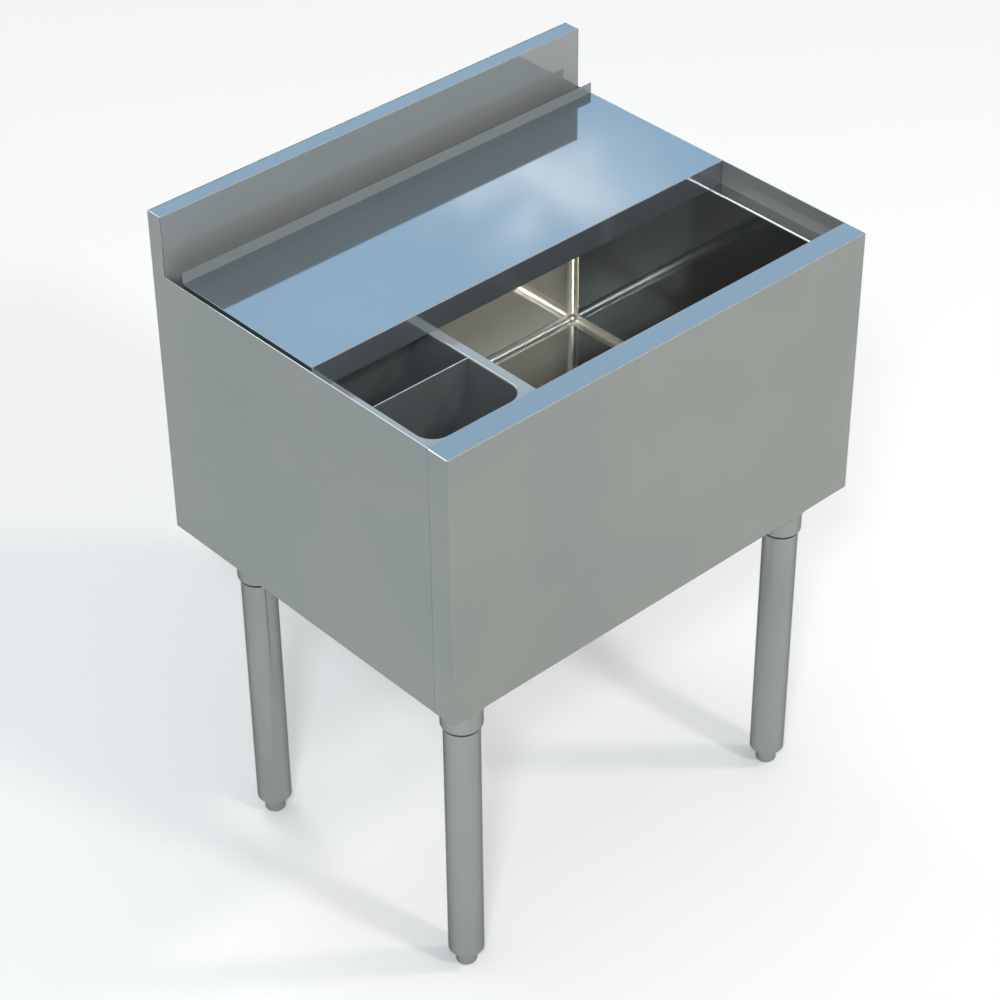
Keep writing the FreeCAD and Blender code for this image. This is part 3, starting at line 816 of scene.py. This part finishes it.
SKY_AHEAD = (0.673, 0.739, 0.0)
SKY_FRONT = (0.50, 0.70, 0.80)
SKY_REAR = (0.73, 1.07, 1.35)
HORIZON = (0.90, 0.92, 0.93)
CLOUD_PLACE = (0.587, 0.624, 0.515)
CLOUD_SHAPE = (17, 17, 34)
CLOUD_WHITE = (1.8, 1.9, 1.98)
EVEN_LIGHT = (0.62, 0.62, 0.62)


def blend(tree, factor, first, second):
    """Colour between a changing shade and a fixed one."""
    node = tree.nodes.new("ShaderNodeMix")
    node.data_type = "RGBA"
    node.inputs["B"].default_value = (*second, 1.0)
    tree.links.new(first, node.inputs["A"])
    tree.links.new(factor, node.inputs["Factor"])
    return node.outputs["Result"]


def vector_step(tree, operation, source, value=None):
    """Vector node fed by a source and, where it takes one, a fixed second vector."""
    node = tree.nodes.new("ShaderNodeVectorMath")
    node.operation = operation
    tree.links.new(source, node.inputs[0])
    if value:
        node.inputs[1].default_value = value
    return node


def cloud_mask(tree, direction):
    """Small ragged cloud round one direction."""
    offset = vector_step(tree, "SUBTRACT", direction, CLOUD_PLACE)
    shape = vector_step(tree, "MULTIPLY", offset.outputs["Vector"], CLOUD_SHAPE)
    away = vector_step(tree, "LENGTH", shape.outputs["Vector"])
    puffs = tree.nodes.new("ShaderNodeTexNoise")
    puffs.inputs["Scale"].default_value = 2.2
    puffs.inputs["Detail"].default_value = 3.0
    tree.links.new(shape.outputs["Vector"], puffs.inputs["Vector"])
    mask = tree.nodes.new("ShaderNodeMath")
    mask.operation = "MULTIPLY"
    fade = spread(tree, away.outputs["Value"], 1.0, 0.0, first=0.1, last=1.0)
    tree.links.new(fade, mask.inputs[0])
    tree.links.new(spread(tree, puffs.outputs["Fac"], 0.0, 1.0, first=0.34, last=0.6), mask.inputs[1])
    return mask.outputs["Value"]


def sky():
    """Blue sky with a pale horizon and one cloud, brighter behind the bin; even for diffuse rays."""
    world = bpy.data.worlds.new("sky")
    bpy.context.scene.world = world
    world.use_nodes = True
    tree = world.node_tree
    back = tree.nodes["Background"]
    direction = tree.nodes.new("ShaderNodeTexCoord").outputs["Generated"]
    aim = vector_step(tree, "DOT_PRODUCT", direction, SKY_AHEAD)
    height = tree.nodes.new("ShaderNodeSeparateXYZ")
    tree.links.new(direction, height.inputs["Vector"])
    light_path = tree.nodes.new("ShaderNodeLightPath")
    ahead = spread(tree, aim.outputs["Value"], 0.0, 1.0, first=-0.1, last=0.6)
    shade = tint(tree, ahead, SKY_FRONT, SKY_REAR)
    shade = blend(tree, cloud_mask(tree, direction), shade, CLOUD_WHITE)
    low_down = spread(tree, height.outputs["Z"], 1.0, 0.0, first=0.05, last=0.35)
    shade = blend(tree, low_down, shade, HORIZON)
    shade = blend(tree, light_path.outputs["Is Diffuse Ray"], shade, EVEN_LIGHT)
    tree.links.new(shade, back.inputs["Color"])
    back.inputs["Strength"].default_value = 1.0


BIN_MIDDLE = Vector((0.0, 0.0, 0.6))


def soft_box(name, direction, distance, size, radiance, colour, gleam_only=False):
    """Square soft box that faces the bin from one direction; gleam_only keeps it to reflections."""
    lamp = bpy.data.lights.new(name, "AREA")
    lamp.shape = "SQUARE"
    lamp.size = size
    lamp.color = colour
    lamp.energy = radiance * math.pi * size * size
    obj = add_object(name, lamp)
    outward = Vector(direction).normalized()
    obj.location = BIN_MIDDLE + outward * distance
    obj.rotation_mode = "QUATERNION"
    obj.rotation_quaternion = (-outward).to_track_quat("-Z", "Y")
    obj.visible_diffuse = not gleam_only


floor()
sky()
soft_box("front_left_box", direction=(-0.565, -0.509, 0.649), distance=5.0, size=0.6, radiance=60.0,
         colour=(0.95, 1.0, 1.04))
soft_box("front_box", direction=(0.12, -0.77, 0.627), distance=5.0, size=0.5, radiance=66.0,
         colour=(1.02, 1.0, 0.96))
soft_box("front_right_box", direction=(0.564, -0.518, 0.643), distance=5.0, size=0.5, radiance=52.0,
         colour=(1.06, 1.0, 0.92))
soft_box("cove_box", direction=(-0.433, -0.475, 0.766), distance=5.0, size=1.2, radiance=26.0,
         colour=(1.0, 0.99, 0.95), gleam_only=True)
soft_box("rear_box", direction=(0.05, 0.64, 0.767), distance=4.0, size=1.2, radiance=5.0,
         colour=(1.0, 1.0, 1.0))

# Camera at the photograph's angle
CAMERA_PLACE = (-1.76904, -1.92239, 2.37770)
CAMERA_AZIMUTH = math.radians(-42.2749)
CAMERA_ELEVATION = math.radians(37.2089)
CAMERA_ROLL = math.radians(-0.5705)
CAMERA_LENS = 102.851


def camera():
    """Camera with a slight roll, set by its azimuth and elevation."""
    back = Vector((math.sin(CAMERA_AZIMUTH) * math.cos(CAMERA_ELEVATION),
                   -math.cos(CAMERA_AZIMUTH) * math.cos(CAMERA_ELEVATION), math.sin(CAMERA_ELEVATION)))
    level = Vector((math.cos(CAMERA_AZIMUTH), math.sin(CAMERA_AZIMUTH), 0))
    upward = back.cross(level)
    side = math.cos(CAMERA_ROLL) * level + math.sin(CAMERA_ROLL) * upward
    top = -math.sin(CAMERA_ROLL) * level + math.cos(CAMERA_ROLL) * upward
    data = bpy.data.cameras.new("camera")
    data.lens = CAMERA_LENS
    data.sensor_width = 36.0
    data.clip_end = 100.0
    obj = add_object("camera", data)
    turn = Matrix((side, top, back)).transposed()
    obj.matrix_world = Matrix.Translation(CAMERA_PLACE) @ turn.to_4x4()
    bpy.context.scene.camera = obj


camera()
bpy.context.scene.view_settings.view_transform = "Standard"
bpy.context.scene.cycles.glossy_bounces = 10
bpy.context.scene.cycles.sample_clamp_indirect = 0.0
